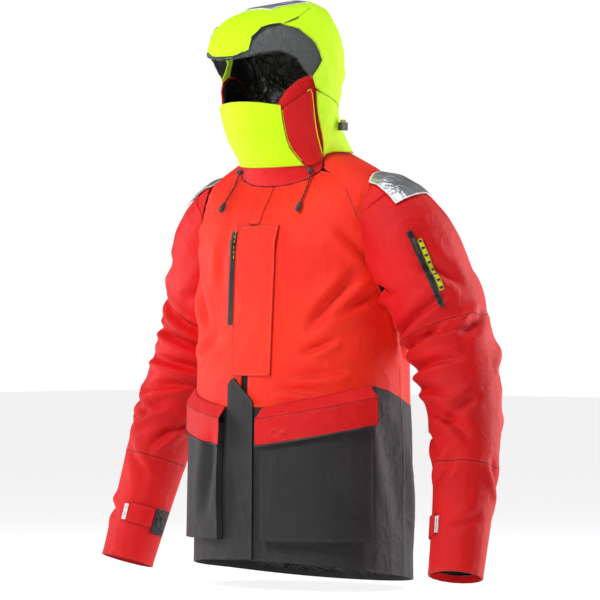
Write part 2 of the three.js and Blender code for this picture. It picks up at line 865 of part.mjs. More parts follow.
function cordTube() {
  const path = new THREE.CatmullRomCurve3(cordRoute.map((p) => new THREE.Vector3(...p)));
  const section = new THREE.Shape();
  for (let i = 0; i < 8; i += 1) {
    const turn = (i / 8) * 2 * Math.PI;
    const corner = [cordRadius * Math.cos(turn), cordRadius * Math.sin(turn)];
    if (i === 0) {
      section.moveTo(...corner);
    } else {
      section.lineTo(...corner);
    }
  }
  section.closePath();
  return new THREE.ExtrudeGeometry(section, { steps: 10, bevelEnabled: false, extrudePath: path });
}

function placeAlong(geometry, from, towards) {
  const start = new THREE.Vector3(...from);
  const direction = new THREE.Vector3(...towards).sub(start).normalize();
  const turn = new THREE.Quaternion().setFromUnitVectors(new THREE.Vector3(0, 1, 0), direction);
  geometry.applyQuaternion(turn);
  geometry.translate(start.x, start.y, start.z);
  return geometry;
}

function cordEnd() {
  const profile = [[0, 0], [2.2, 0], [3.4, 3], [cordEndRadius, cordEndLength - 8],
    [cordEndRadius - 1.5, cordEndLength - 1], [0, cordEndLength]];
  const bead = new THREE.LatheGeometry(profile.map(([x, y]) => new THREE.Vector2(x, y)), 12);
  const [before, last] = cordRoute.slice(-2).map((p) => new THREE.Vector3(...p));
  const direction = last.clone().sub(before).normalize();
  const start = last.clone().addScaledVector(direction, 0.3);
  return placeAlong(bead, start.toArray(), start.clone().add(direction).toArray());
}

function cordEyelet() {
  const profile = [[0, 0], [4.5, 0], [7, 4], [7, 7], [0, 7]];
  const eyelet = new THREE.LatheGeometry(profile.map(([x, y]) => new THREE.Vector2(x, y)), 12);
  const [first, second] = cordRoute.slice(0, 2).map((p) => new THREE.Vector3(...p));
  const back = first.clone().sub(second).normalize();
  const start = first.clone().addScaledVector(back, 0.3);
  return cut(placeAlong(eyelet, start.toArray(), start.clone().add(back).toArray()), collarCore());
}

function cordLockBody() {
  const { x, y, z } = cordLockPlace;
  const block = boxBetween([x - 5, y - 8, z - 8], [x + 5, y + 8, z + 7]);
  const slot = boxBetween([x - 3.2, y - 5, z - 2], [x + 3.2, y + 5, z + 10]);
  return cut(block, slot);
}

function cordLockButton() {
  const { x, y, z } = cordLockPlace;
  return boxBetween([x - 2.9, y - 4.7, z - 2 + lockTravel + 0.6], [x + 2.9, y + 4.7, z + 12]);
}

function hangLoop() {
  const outer = boxBetween([-32, -1.5, -4], [32, 1.5, 14]);
  const inner = boxBetween([-26, -3, 1], [26, 3, 9]);
  const loop = cut(outer, inner);
  loop.translate(hangPoint.x, hangPoint.y, hangPoint.z - 12);
  return loop;
}

// ---- assembly ----

const jacket = new THREE.Group();
jacket.position.copy(hangPoint).negate();

function add(name, geometry, material) {
  const mesh = new THREE.Mesh(geometry, material);
  mesh.name = name;
  jacket.add(mesh);
}

function addPair(name, geometry, material) {
  add(`${name}_left`, geometry, material);
  add(`${name}_right`, mirrored(geometry), material);
}

addPair('front_panel', frontPanel(), orangeRed);
add('back_panel', backPanel(), orangeRed);
add('shoulder_yoke', shoulderYoke(), orangeRed);
addPair('skirt_front', skirtPanel(), charcoal);
add('skirt_back', skirtBack(), charcoal);
add('body_lining', bodyLining(), blackLining);
add('placket_strip', placketStrip(), charcoal);
add('main_zip', mainZip(), zipBlack);
add('main_zip_slider', mainZipSlider(), zipBlack);
add('storm_flap', stormFlap(), orangeRed);
add('chest_zip', chestZip(), zipBlack);
add('chest_zip_slider', chestZipSlider(), zipBlack);

addPair('sleeve_upper', upperSleeve(), deepRed);
addPair('sleeve_elbow', elbowSleeve(), deepRed);
addPair('sleeve_forearm', forearmSleeve(), deepRed);
addPair('inner_cuff', innerCuff(), blackLining);
addPair('cuff_tab', cuffTab(), deepRed);
addPair('cuff_tab_grip', cuffTabGrip(), reflective);
addPair('cuff_gusset', cuffGusset(), blackLining);
addPair('shoulder_reflector', shoulderReflector(), reflective);
add('arm_zip', armZip(), zipBlack);
add('arm_zip_slider', armZipSlider(), zipBlack);
add('arm_zip_tape', armZipTape(), yellowTape);

addPair('cargo_pocket', pocketBag(), charcoal);
addPair('pocket_flap', pocketFlap(), deepRed);

add('collar', collarShell(), deepRed);
add('collar_lining', collarLining(), blackLining);
add('face_mask', faceMask(), fluoro);
add('cheek_flap', cheekFlap(), deepRed);

const hood = movingHood();
add('hood_peak', hoodPeak(hood), fluoro);
add('hood_back', hoodBack(hood), fluoro);
add('hood_neck', hoodNeck(), fluoro);
add('hood_lining', hoodLining(), blackLining);
add('vision_window', visionWindow(), clearFilm);
add('window_binding', windowBinding(), zipBlack);
add('hood_reflector', hoodReflector(), reflective);

addPair('drawcord', cordTube(), cordBlack);
addPair('cord_end', cordEnd(), zipBlack);
addPair('cord_eyelet', cordEyelet(), zipBlack);
add('cord_lock', cordLockBody(), zipBlack);
add('cord_lock_button', cordLockButton(), yellowTape);
add('hang_loop', hangLoop(), blackLining);

const root = new THREE.Group();
root.add(jacket);
export default root;
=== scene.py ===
import json
import math
import bmesh
import bpy
import numpy as np
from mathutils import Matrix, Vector, kdtree
from mathutils.bvhtree import BVHTree


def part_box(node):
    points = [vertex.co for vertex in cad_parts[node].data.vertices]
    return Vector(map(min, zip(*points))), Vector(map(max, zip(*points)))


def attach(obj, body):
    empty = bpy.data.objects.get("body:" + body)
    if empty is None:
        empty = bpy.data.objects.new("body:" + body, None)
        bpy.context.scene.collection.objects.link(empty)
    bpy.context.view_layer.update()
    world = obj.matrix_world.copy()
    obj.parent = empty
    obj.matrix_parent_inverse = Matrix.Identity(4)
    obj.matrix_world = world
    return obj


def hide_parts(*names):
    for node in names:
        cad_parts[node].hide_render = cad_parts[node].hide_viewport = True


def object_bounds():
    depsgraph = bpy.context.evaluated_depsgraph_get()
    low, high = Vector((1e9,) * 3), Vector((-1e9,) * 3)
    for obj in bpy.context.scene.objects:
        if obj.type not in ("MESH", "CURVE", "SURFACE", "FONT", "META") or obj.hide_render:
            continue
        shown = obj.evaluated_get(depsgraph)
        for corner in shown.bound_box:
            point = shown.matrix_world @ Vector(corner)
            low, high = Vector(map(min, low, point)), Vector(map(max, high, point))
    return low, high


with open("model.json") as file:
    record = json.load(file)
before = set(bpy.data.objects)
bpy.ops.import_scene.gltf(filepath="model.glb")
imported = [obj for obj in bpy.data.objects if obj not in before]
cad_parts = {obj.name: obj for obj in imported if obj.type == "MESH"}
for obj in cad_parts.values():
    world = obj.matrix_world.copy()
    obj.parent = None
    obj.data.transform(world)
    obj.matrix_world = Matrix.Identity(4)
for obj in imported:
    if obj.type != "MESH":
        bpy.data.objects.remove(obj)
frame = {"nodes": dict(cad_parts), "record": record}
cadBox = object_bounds()
lowCorner, highCorner = Vector(cadBox[0]), Vector(cadBox[1])
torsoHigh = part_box("back_panel")[1]
nodeBody = {n: body for body, nodes in frame["record"]["behaviour"]["bodies"].items() for n in nodes}
nodeSlot = {p["node"]: p["material_slot"] for p in frame["record"]["subparts"]}


def bothSides(*names):
    return [name + side for name in names for side in ("_left", "_right")]


# ---- camera and studio ----
studio = {
    "turn": math.radians(42), "distance": 9.0, "eyeHeight": -0.265, "lens": 286, "sensor": 36,
    "aimAt": (-0.0042, -0.0697), "floorGap": 0.006, "floorSize": 14, "backdrop": (1, 1, 1, 1), "fill": 0.14,
    "floorColour": (0.34, 0.34, 0.35, 1), "floorGlow": 0.88,
}
lamps = {  # turn from the camera, height and distance, then size, power and colour
    "keyLight": (-0.75, 1.4, 2.3, (0.6, 0.9), 46, (1, 1, 1)),
    "frontFill": (0.3, 0.5, 3.4, (1.2, 1.4), 5, (1, 1, 1)),
    "rimRight": (1.9, 0.2, 1.8, (0.35, 2.0), 34, (1, 0.93, 0.94)),
    "rimLeft": (-2.0, 0.1, 2.0, (0.35, 1.9), 20, (1, 0.95, 0.94)),
    "topLight": (0.2, 2.4, 0.5, (1.0, 1.0), 20, (1, 1, 1)),
}


def placeCamera():
    data = bpy.data.cameras.new("camera")
    data.lens = studio["lens"]
    data.sensor_width = studio["sensor"]
    eye = bpy.data.objects.new("camera", data)
    bpy.context.collection.objects.link(eye)
    turn = studio["turn"]
    back = Vector((math.sin(turn), -math.cos(turn), 0))
    aim = Vector((*studio["aimAt"], studio["eyeHeight"]))
    eye.location = aim + back * studio["distance"]
    eye.rotation_euler = back.to_track_quat("Z", "Y").to_euler()
    bpy.context.scene.camera = eye
    return aim, turn


def softbox(name, aim, turn, height, distance, size, power, colour):
    data = bpy.data.lights.new(name, "AREA")
    data.shape = "RECTANGLE"
    data.size, data.size_y = size
    data.energy = power
    data.color = colour
    lamp = bpy.data.objects.new(name, data)
    bpy.context.collection.objects.link(lamp)
    lamp.location = aim + Vector((math.sin(turn) * distance, -math.cos(turn) * distance, height))
    lamp.rotation_euler = (lamp.location - aim).to_track_quat("Z", "Y").to_euler()


def lightRoom():  # dim fill on the jacket, with a white backdrop for the camera
    world = bpy.data.worlds.new("studioWorld")
    bpy.context.scene.world = world
    world.use_nodes = True
    tree = world.node_tree
    roomLight = tree.nodes["Background"]
    roomLight.inputs["Strength"].default_value = studio["fill"]
    backdrop = tree.nodes.new("ShaderNodeBackground")
    backdrop.inputs["Color"].default_value = studio["backdrop"]
    seenRay = tree.nodes.new("ShaderNodeLightPath")
    roomMix = tree.nodes.new("ShaderNodeMixShader")
    tree.links.new(seenRay.outputs["Is Camera Ray"], roomMix.inputs[0])
    tree.links.new(roomLight.outputs[0], roomMix.inputs[1])
    tree.links.new(backdrop.outputs[0], roomMix.inputs[2])
    tree.links.new(roomMix.outputs[0], tree.nodes["World Output"].inputs["Surface"])


aimPoint, cameraTurn = placeCamera()
for name, (lampTurn, *values) in lamps.items():
    softbox(name, aimPoint, cameraTurn + lampTurn, *values)
lightRoom()
bpy.context.scene.view_settings.view_transform = "Standard"
print("camera and studio lights placed")

# ---- materials ----


def addNode(tree, kind, **values):
    node = tree.nodes.new(kind)
    for key, value in values.items():
        setattr(node, key, value)
    return node


def feed(tree, socket, source):
    if isinstance(source, bpy.types.NodeSocket):
        tree.links.new(source, socket)
    else:
        socket.default_value = source


def calc(tree, operation, first, second=0.0, third=None, clamp=False):
    node = addNode(tree, "ShaderNodeMath", operation=operation, use_clamp=clamp)
    feed(tree, node.inputs[0], first)
    feed(tree, node.inputs[1], second)
    if third is not None:
        feed(tree, node.inputs[2], third)
    return node.outputs[0]


def blendColour(tree, share, first, second):
    node = addNode(tree, "ShaderNodeMix", data_type="RGBA")
    feed(tree, node.inputs[0], share)
    feed(tree, node.inputs[6], first)
    feed(tree, node.inputs[7], second)
    return node.outputs[2]


def noiseAt(tree, vector, scale, detail=3.0, rough=0.55):
    node = addNode(tree, "ShaderNodeTexNoise")
    node.inputs["Scale"].default_value = scale
    node.inputs["Detail"].default_value = detail
    node.inputs["Roughness"].default_value = rough
    tree.links.new(vector, node.inputs["Vector"])
    return node.outputs["Fac"]


def newGroup(name, inputs, outputs):
    tree = bpy.data.node_groups.new(name, "ShaderNodeTree")
    for label, kind, value in inputs:
        socket = tree.interface.new_socket(name=label, in_out="INPUT", socket_type=kind)
        socket.default_value = value
    for label, kind in outputs:
        tree.interface.new_socket(name=label, in_out="OUTPUT", socket_type=kind)
    return tree, addNode(tree, "NodeGroupInput").outputs, addNode(tree, "NodeGroupOutput").inputs


def makeWeaveGroup():  # plain weave that follows the cloth, in metres of height
    tree, given, out = newGroup("clothWeave", [
        ("Thread", "NodeSocketFloat", 0.0014), ("Depth", "NodeSocketFloat", 0.00008),
        ("Slub", "NodeSocketFloat", 0.5)], [("Height", "NodeSocketFloat"), ("Mask", "NodeSocketFloat")])
    split = addNode(tree, "ShaderNodeSeparateXYZ")
    tree.links.new(addNode(tree, "ShaderNodeUVMap", uv_map="cloth").outputs[0], split.inputs[0])
    turns = calc(tree, "DIVIDE", math.tau, given["Thread"])
    warp = calc(tree, "SINE", calc(tree, "MULTIPLY", split.outputs[0], turns))
    weft = calc(tree, "SINE", calc(tree, "MULTIPLY", split.outputs[1], turns))
    plain = calc(tree, "MULTIPLY", warp, weft)
    place = addNode(tree, "ShaderNodeTexCoord").outputs["Object"]
    slub = calc(tree, "MULTIPLY", calc(tree, "SUBTRACT", noiseAt(tree, place, 420, 2), 0.5), given["Slub"])
    mixed = calc(tree, "ADD", plain, calc(tree, "MULTIPLY", slub, 4))
    feed(tree, out["Height"], calc(tree, "MULTIPLY", mixed, given["Depth"]))
    feed(tree, out["Mask"], calc(tree, "MULTIPLY_ADD", mixed, 0.25, 0.5, clamp=True))
    return tree


def makeCreaseGroup():  # soft handling creases, in metres of height
    tree, given, out = newGroup("softCrease", [
        ("Size", "NodeSocketFloat", 16.0), ("Depth", "NodeSocketFloat", 0.0012)],
        [("Height", "NodeSocketFloat")])
    place = addNode(tree, "ShaderNodeTexCoord").outputs["Object"]
    bend = addNode(tree, "ShaderNodeTexNoise")
    bend.inputs["Scale"].default_value = 6
    tree.links.new(place, bend.inputs["Vector"])
    shift = addNode(tree, "ShaderNodeVectorMath", operation="SCALE")
    shift.inputs["Scale"].default_value = 0.09
    tree.links.new(bend.outputs["Color"], shift.inputs[0])
    moved = addNode(tree, "ShaderNodeVectorMath", operation="ADD")
    tree.links.new(place, moved.inputs[0])
    tree.links.new(shift.outputs[0], moved.inputs[1])
    ridge = addNode(tree, "ShaderNodeTexNoise")
    ridge.inputs["Detail"].default_value = 3
    tree.links.new(moved.outputs[0], ridge.inputs["Vector"])
    feed(tree, ridge.inputs["Scale"], given["Size"])
    folded = calc(tree, "ABSOLUTE", calc(tree, "SUBTRACT", ridge.outputs["Fac"], 0.5))
    crest = calc(tree, "POWER", calc(tree, "SUBTRACT", 1.0, calc(tree, "MULTIPLY", folded, 5, clamp=True)), 2)
    feed(tree, out["Height"], calc(tree, "MULTIPLY", crest, given["Depth"]))
    return tree


def makeSeamGroup():  # top stitching, pucker, wear and a painted seam shadow, measured from the nearest cut edge
    tree, given, out = newGroup("seamStitchAndShadow", [
        ("Stitch In", "NodeSocketFloat", 0.0035), ("Pucker", "NodeSocketFloat", 0.0005)],
        [("Stitch", "NodeSocketFloat"), ("Wear", "NodeSocketFloat"), ("Height", "NodeSocketFloat"),
         ("Shade", "NodeSocketFloat")])
    rim = addNode(tree, "ShaderNodeAttribute", attribute_name="rimDistance").outputs["Fac"]
    away = calc(tree, "ABSOLUTE", calc(tree, "SUBTRACT", rim, given["Stitch In"]))
    line = calc(tree, "SUBTRACT", 1.0, calc(tree, "DIVIDE", away, 0.0007), clamp=True)
    split = addNode(tree, "ShaderNodeSeparateXYZ")
    tree.links.new(addNode(tree, "ShaderNodeUVMap", uv_map="cloth").outputs[0], split.inputs[0])
    run = calc(tree, "ADD", split.outputs[0], split.outputs[1])
    beat = calc(tree, "SINE", calc(tree, "MULTIPLY", run, math.tau / 0.0034))
    dash = calc(tree, "GREATER_THAN", beat, -0.35)
    stitch = calc(tree, "MULTIPLY", line, dash)
    place = addNode(tree, "ShaderNodeTexCoord").outputs["Object"]
    near = calc(tree, "POWER", calc(tree, "SUBTRACT", 1.0, calc(tree, "DIVIDE", rim, 0.014), clamp=True), 2)
    puck = calc(tree, "MULTIPLY", calc(tree, "MULTIPLY", noiseAt(tree, place, 95, 2), near), given["Pucker"])
    # painted seam shadow: a mask that is full at a turned edge and fades out 2.6 mm away, where shade falls
    # between parts
    shade = calc(tree, "SUBTRACT", 1.0, calc(tree, "DIVIDE", rim, 0.0026), clamp=True)
    feed(tree, out["Shade"], shade)
    groove = calc(tree, "MULTIPLY", line, -0.00035)
    feed(tree, out["Stitch"], stitch)
    feed(tree, out["Height"], calc(tree, "ADD", puck, groove))
    edge = calc(tree, "SUBTRACT", 1.0, calc(tree, "DIVIDE", rim, 0.0016), clamp=True)
    feed(tree, out["Wear"], calc(tree, "MULTIPLY", edge, noiseAt(tree, place, 60, 4)))
    return tree


def makeToneGroup():  # slow changes of shade over the cloth
    tree, given, out = newGroup("clothTone", [
        ("Light", "NodeSocketColor", (1, 1, 1, 1)), ("Dark", "NodeSocketColor", (0, 0, 0, 1)),
        ("Size", "NodeSocketFloat", 7.0)], [("Color", "NodeSocketColor")])
    place = addNode(tree, "ShaderNodeTexCoord").outputs["Object"]
    noise = addNode(tree, "ShaderNodeTexNoise")
    noise.inputs["Detail"].default_value = 5
    tree.links.new(place, noise.inputs["Vector"])
    feed(tree, noise.inputs["Scale"], given["Size"])
    share = calc(tree, "MULTIPLY_ADD", noise.outputs["Fac"], 2.2, -0.6, clamp=True)
    feed(tree, out["Color"], blendColour(tree, share, given["Light"], given["Dark"]))
    return tree


weaveGroup, creaseGroup = makeWeaveGroup(), makeCreaseGroup()
seamGroup, toneGroup = makeSeamGroup(), makeToneGroup()


def placeGroup(tree, group, **values):
    node = addNode(tree, "ShaderNodeGroup", node_tree=group)
    for key, value in values.items():
        node.inputs[key.replace("_", " ")].default_value = value
    return node


def bareMaterial(name, colour, rough, metal=0.0):
    material = bpy.data.materials.new(name)
    material.use_nodes = True
    material.diffuse_color = colour
    shader = material.node_tree.nodes["Principled BSDF"]
    shader.inputs["Base Color"].default_value = colour
    shader.inputs["Roughness"].default_value = rough
    shader.inputs["Metallic"].default_value = metal
    return material, material.node_tree, shader


def bumpInto(tree, shader, height, strength=1.0):
    bump = addNode(tree, "ShaderNodeBump")
    bump.inputs["Strength"].default_value = strength
    bump.inputs["Distance"].default_value = 1.0
    tree.links.new(height, bump.inputs["Height"])
    tree.links.new(bump.outputs[0], shader.inputs["Normal"])


def rgb(*levels):  # red, green and blue from 0 to 255, made linear
    return tuple(((c / 255 + 0.055) / 1.055) ** 2.4 if c > 10 else c / 3294 for c in levels) + (1,)


def makeCloth(name, light, dark, thread, look):
    material, tree, shader = bareMaterial(name, light, look["rough"])
    shader.inputs["Sheen Weight"].default_value = look["sheen"]
    shader.inputs["Sheen Roughness"].default_value = 0.45
    shader.inputs["Sheen Tint"].default_value = look["sheenTint"]
    shader.inputs["Specular IOR Level"].default_value = look["gloss"]
    # painted glow: a constant emission in the cloth's own colour, standing in for fluorescent brightness;
    # only the fluoro look sets it above zero
    shader.inputs["Emission Color"].default_value = light
    shader.inputs["Emission Strength"].default_value = look["paintedGlow"]
    tone = placeGroup(tree, toneGroup, Light=light, Dark=dark, Size=look["toneSize"])
    weave = placeGroup(tree, weaveGroup, Thread=look["thread"], Depth=look["weave"])
    crease = placeGroup(tree, creaseGroup, Size=look["creaseSize"], Depth=look["crease"])
    seam = placeGroup(tree, seamGroup, Stitch_In=look["stitchIn"], Pucker=look["pucker"])
    threads = calc(tree, "MULTIPLY", weave.outputs["Mask"], look["threadShade"])
    shaded = blendColour(tree, threads, tone.outputs["Color"], dark)
    stitched = blendColour(tree, calc(tree, "MULTIPLY", seam.outputs["Stitch"], 0.7), shaded, thread)
    # painted seam shadow: the colour is blended towards a near-black copy of the dark tone beside turned
    # edges
    seamShadowed = blendColour(tree, calc(tree, "MULTIPLY", seam.outputs["Shade"], 0.6), stitched,
                         tuple(c * 0.22 for c in dark[:3]) + (1,))
    worn = blendColour(tree, calc(tree, "MULTIPLY", seam.outputs["Wear"], 0.3), seamShadowed, thread)
    tree.links.new(worn, shader.inputs["Base Color"])
    roughness = calc(tree, "MULTIPLY_ADD", weave.outputs["Mask"], 0.16, look["rough"] - 0.08)
    tree.links.new(roughness, shader.inputs["Roughness"])
    height = calc(tree, "ADD", calc(tree, "ADD", weave.outputs["Height"], crease.outputs["Height"]),
                  seam.outputs["Height"])
    bumpInto(tree, shader, height)
    return material


shellLook = {
    "rough": 0.58, "sheen": 0.08, "sheenTint": (1, 0.5, 0.46, 1), "gloss": 0.28, "paintedGlow": 0.0, "toneSize": 7,
    "thread": 0.0015, "weave": 0.00007, "threadShade": 0.16, "creaseSize": 15, "crease": 0.0011,
    "stitchIn": 0.0036, "pucker": 0.0006,
}
# the fluoro look carries a painted glow through its emission strength
fluoroLook = dict(shellLook, paintedGlow=0.13, sheen=0.06, sheenTint=(1, 1, 0.7, 1), rough=0.66, creaseSize=19,
                  crease=0.0010)
skirtLook = dict(shellLook, sheenTint=(0.8, 0.82, 0.85, 1), rough=0.6, gloss=0.36, thread=0.0019,
                 weave=0.00011, threadShade=0.35, crease=0.0012)
satinLook = dict(shellLook, rough=0.42, gloss=0.5, sheen=0.05, sheenTint=(1, 1, 1, 1), creaseSize=34,
                 crease=0.0022, weave=0.00003)
trimLook = dict(shellLook, thread=0.0011, weave=0.00012, crease=0.0002, pucker=0.0002, stitchIn=0.0022)

clothColours = {  # name, light side, dark side and thread, then the look
    "shell_orange": ("orangeRedShell", (252, 50, 18), (234, 26, 12), (255, 96, 60), shellLook),
    "shell_red": ("deepRedShell", (232, 16, 20), (204, 6, 14), (250, 70, 60), shellLook),
    "hood_fluoro": ("fluoroShell", (205, 252, 0), (186, 244, 0), (232, 255, 70), fluoroLook),
    "skirt_charcoal": ("charcoalShell", (43, 42, 44), (29, 28, 30), (70, 70, 72), skirtLook),
    "lining_black": ("satinLining", (26, 25, 27), (12, 12, 13), (48, 48, 50), satinLook),
    "yellow_trim": ("yellowTape", (236, 232, 10), (210, 214, 0), (250, 250, 120), trimLook),
}
finishes = {slot: makeCloth(name, rgb(*light), rgb(*dark), rgb(*thread), look)
            for slot, (name, light, dark, thread, look) in clothColours.items()}
print("cloth finishes made")


def makeFilm():
    film, tree, shader = bareMaterial("clearFilm", (0.88, 0.92, 0.93, 1), 0.12)
    shader.inputs["Transmission Weight"].default_value = 0.93
    shader.inputs["IOR"].default_value = 1.08
    shader.inputs["Specular IOR Level"].default_value = 0.9
    crease = placeGroup(tree, creaseGroup, Size=20.0, Depth=0.0016)
    bumpInto(tree, shader, crease.outputs["Height"])
    return film


def makeReflector():  # glass beads with a pale welded border
    silver, tree, shader = bareMaterial("silverReflector", (0.72, 0.73, 0.75, 1), 0.34, 0.55)
    place = addNode(tree, "ShaderNodeTexCoord").outputs["Object"]
    beads = addNode(tree, "ShaderNodeTexVoronoi")
    beads.inputs["Scale"].default_value = 420
    tree.links.new(place, beads.inputs["Vector"])
    rim = addNode(tree, "ShaderNodeAttribute", attribute_name="rimDistance").outputs["Fac"]
    border = calc(tree, "LESS_THAN", rim, 0.0035)
    tone = placeGroup(tree, toneGroup, Light=rgb(214, 216, 220), Dark=rgb(150, 153, 158), Size=26.0)
    dotted = blendColour(tree, calc(tree, "MULTIPLY", beads.outputs["Distance"], 0.45), tone.outputs["Color"],
                         rgb(120, 122, 126))
    tree.links.new(blendColour(tree, border, dotted, rgb(236, 237, 238)), shader.inputs["Base Color"])
    tree.links.new(calc(tree, "MULTIPLY_ADD", border, 0.3, 0.32), shader.inputs["Roughness"])
    crease = placeGroup(tree, creaseGroup, Size=42.0, Depth=0.0009)
    bumpInto(tree, shader, calc(tree, "ADD", calc(tree, "MULTIPLY", beads.outputs["Distance"], 0.00015),
                                crease.outputs["Height"]))
    return silver


def makeMoulding(name, colour, dark, rough):
    material, tree, shader = bareMaterial(name, colour, rough)
    tone = placeGroup(tree, toneGroup, Light=colour, Dark=dark, Size=60.0)
    seam = placeGroup(tree, seamGroup, Stitch_In=0.0021, Pucker=0.0001)
    wear = calc(tree, "MULTIPLY", seam.outputs["Wear"], 0.5)
    tree.links.new(blendColour(tree, wear, tone.outputs["Color"], rgb(110, 110, 112)),
                   shader.inputs["Base Color"])
    place = addNode(tree, "ShaderNodeTexCoord").outputs["Object"]
    bumpInto(tree, shader, calc(tree, "MULTIPLY", noiseAt(tree, place, 900, 2), 0.00008))
    return material


def makeBraid():  # dark cord with orange flecks
    dark = rgb(30, 26, 25)
    braid, tree, shader = bareMaterial("flecked_cord", dark, 0.7)
    place = addNode(tree, "ShaderNodeTexCoord").outputs["Object"]
    strands = addNode(tree, "ShaderNodeTexVoronoi")
    strands.inputs["Scale"].default_value = 520
    tree.links.new(place, strands.inputs["Vector"])
    flecks = calc(tree, "GREATER_THAN", noiseAt(tree, place, 330, 1), 0.6)
    tree.links.new(blendColour(tree, flecks, dark, rgb(206, 84, 30)), shader.inputs["Base Color"])
    bumpInto(tree, shader, calc(tree, "MULTIPLY", strands.outputs["Distance"], 0.0004))
    return braid


finishes["clear_film"] = makeFilm()
finishes["reflective"] = makeReflector()
finishes["zip_black"] = makeMoulding("laminatedZip", rgb(44, 44, 46), rgb(18, 18, 19), 0.42)
finishes["rubber_black"] = makeMoulding("mouldedRubber", rgb(34, 34, 35), rgb(16, 16, 17), 0.55)
finishes["cord"] = makeBraid()
print("film, reflector, zip, rubber and cord finishes made")

# ---- drawcords: they hang from the collar and carry the moulded ends ----
cordSettings = {
    "route": [(0.090, -0.1469, -0.028), (0.091, -0.1499, -0.038), (0.093, -0.1569, -0.052),
              (0.095, -0.1684, -0.068), (0.096, -0.1789, -0.082)],
    "length": 0.0642, "diameter": 0.003, "points": 18,
}


def smoothRoute(points, count):
    knots = [Vector(p) for p in points]
    spans = [(b - a).length for a, b in zip(knots, knots[1:])]
    ends = [knots[0] * 2 - knots[1]] + knots + [knots[-1] * 2 - knots[-2]]
    route = []
    for i in range(count):
        reach = sum(spans) * i / (count - 1)
        k = 0
        while k < len(spans) - 1 and reach > spans[k]:
            reach -= spans[k]
            k += 1
        t = min(reach / spans[k], 1)
        a, b, c, d = ends[k:k + 4]
        route.append(0.5 * ((2 * b) + (c - a) * t + (2 * a - 5 * b + 4 * c - d) * t * t
                            + (3 * b - a - 3 * c + d) * t ** 3))
    return route


def tubeCurve(name, route, radius, roundness):
    data = bpy.data.curves.new(name, "CURVE")
    data.dimensions = "3D"
    data.bevel_depth = radius
    data.bevel_resolution = roundness
    data.use_fill_caps = True
    line = data.splines.new("POLY")
    line.points.add(len(route) - 1)
    for point, place in zip(line.points, route):
        point.co = (*place, 1)
    tube = bpy.data.objects.new(name, data)
    bpy.context.collection.objects.link(tube)
    return tube


def makeCord(side, sign):
    settings = cordSettings
    route = [Vector((p.x * sign, p.y, p.z)) for p in smoothRoute(settings["route"], settings["points"])]
    piece = tubeCurve("drawcordLine_" + side, route, settings["diameter"] / 2, 4)
    piece.data.materials.append(finishes["cord"])
    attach(piece, nodeBody["drawcord_" + side])
    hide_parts("drawcord_" + side)


makeCord("left", 1)
makeCord("right", -1)
print("drawcords hung")

# ---- the cloth surface, and how it hangs ----
sleeveSettings = {
    "line": [(0.150, -0.0559, -0.088), (0.190, -0.0499, -0.100), (0.232, -0.0409, -0.148),
             (0.268, -0.0209, -0.230), (0.307, -0.0079, -0.322), (0.348, -0.0179, -0.416),
             (0.381, -0.0409, -0.511), (0.402, -0.0759, -0.643), (0.416, -0.1129, -0.770)],
    "girth": 0.075,
}
torsoSettings = {
    "middleY": (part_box("skirt_front_left")[0][1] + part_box("skirt_back")[1][1]) / 2, "girth": 0.19,
}
hoodSettings = {"middle": (0.0, -0.125, 0.17), "girth": 0.12}
pocketPress = {"cargo_pocket_right": 0.45, "pocket_flap_right": 0.5, "cargo_pocket_left": 0.85}
pressedThickness = 0.0045
sleeveKnots = np.array(sleeveSettings["line"])
sleeveRun = np.concatenate([[0], np.cumsum(np.linalg.norm(np.diff(sleeveKnots, axis=0), axis=1))])
sleeveLength = sleeveRun[-1]


def sleeveMap(points):  # nearest place on the sleeve's middle line, seen on the wearer's left
    flat = points.copy()
    flat[:, 0] = np.abs(flat[:, 0])
    best = np.full(len(flat), np.inf)
    run, near = np.zeros(len(flat)), np.zeros_like(flat)
    way = np.zeros_like(flat)
    for k in range(len(sleeveKnots) - 1):
        a, b = sleeveKnots[k], sleeveKnots[k + 1]
        t = np.clip(((flat - a) @ (b - a)) / ((b - a) @ (b - a)), 0, 1)
        foot = a + t[:, None] * (b - a)
        gap = np.linalg.norm(flat - foot, axis=1)
        won = gap < best
        best[won], near[won] = gap[won], foot[won]
        run[won] = sleeveRun[k] + t[won] * (sleeveRun[k + 1] - sleeveRun[k])
        way[won] = (b - a) / np.linalg.norm(b - a)
    off = flat - near
    off -= (off * way).sum(axis=1)[:, None] * way
    outward = np.cross(np.array([0, -1.0, 0]), way)
    outward /= np.linalg.norm(outward, axis=1)[:, None] + 1e-9
    forward = np.cross(way, outward)
    angle = np.arctan2((off * forward).sum(axis=1), (off * outward).sum(axis=1))
    normal = off / (np.linalg.norm(off, axis=1)[:, None] + 1e-9)
    normal[:, 0] *= np.sign(points[:, 0] + 1e-9)
    return angle, run, normal


def torsoMap(points):
    angle = np.arctan2(points[:, 0], -(points[:, 1] - torsoSettings["middleY"]))
    normal = np.stack([np.sin(angle), -np.cos(angle), np.zeros(len(points))], axis=1)
    return angle, points[:, 2], normal


def hoodMap(points):
    centre = np.array(hoodSettings["middle"])
    off = points - centre
    off[:, 2] = np.maximum(points[:, 2] - centre[2], 0)
    angle = np.arctan2(points[:, 0], -(points[:, 1] - centre[1]))
    return angle, points[:, 2], off / (np.linalg.norm(off, axis=1)[:, None] + 1e-9)


surfaceMaps = {"torso": (torsoMap, torsoSettings["girth"]), "sleeve": (sleeveMap, sleeveSettings["girth"]),
               "hood": (hoodMap, hoodSettings["girth"])}
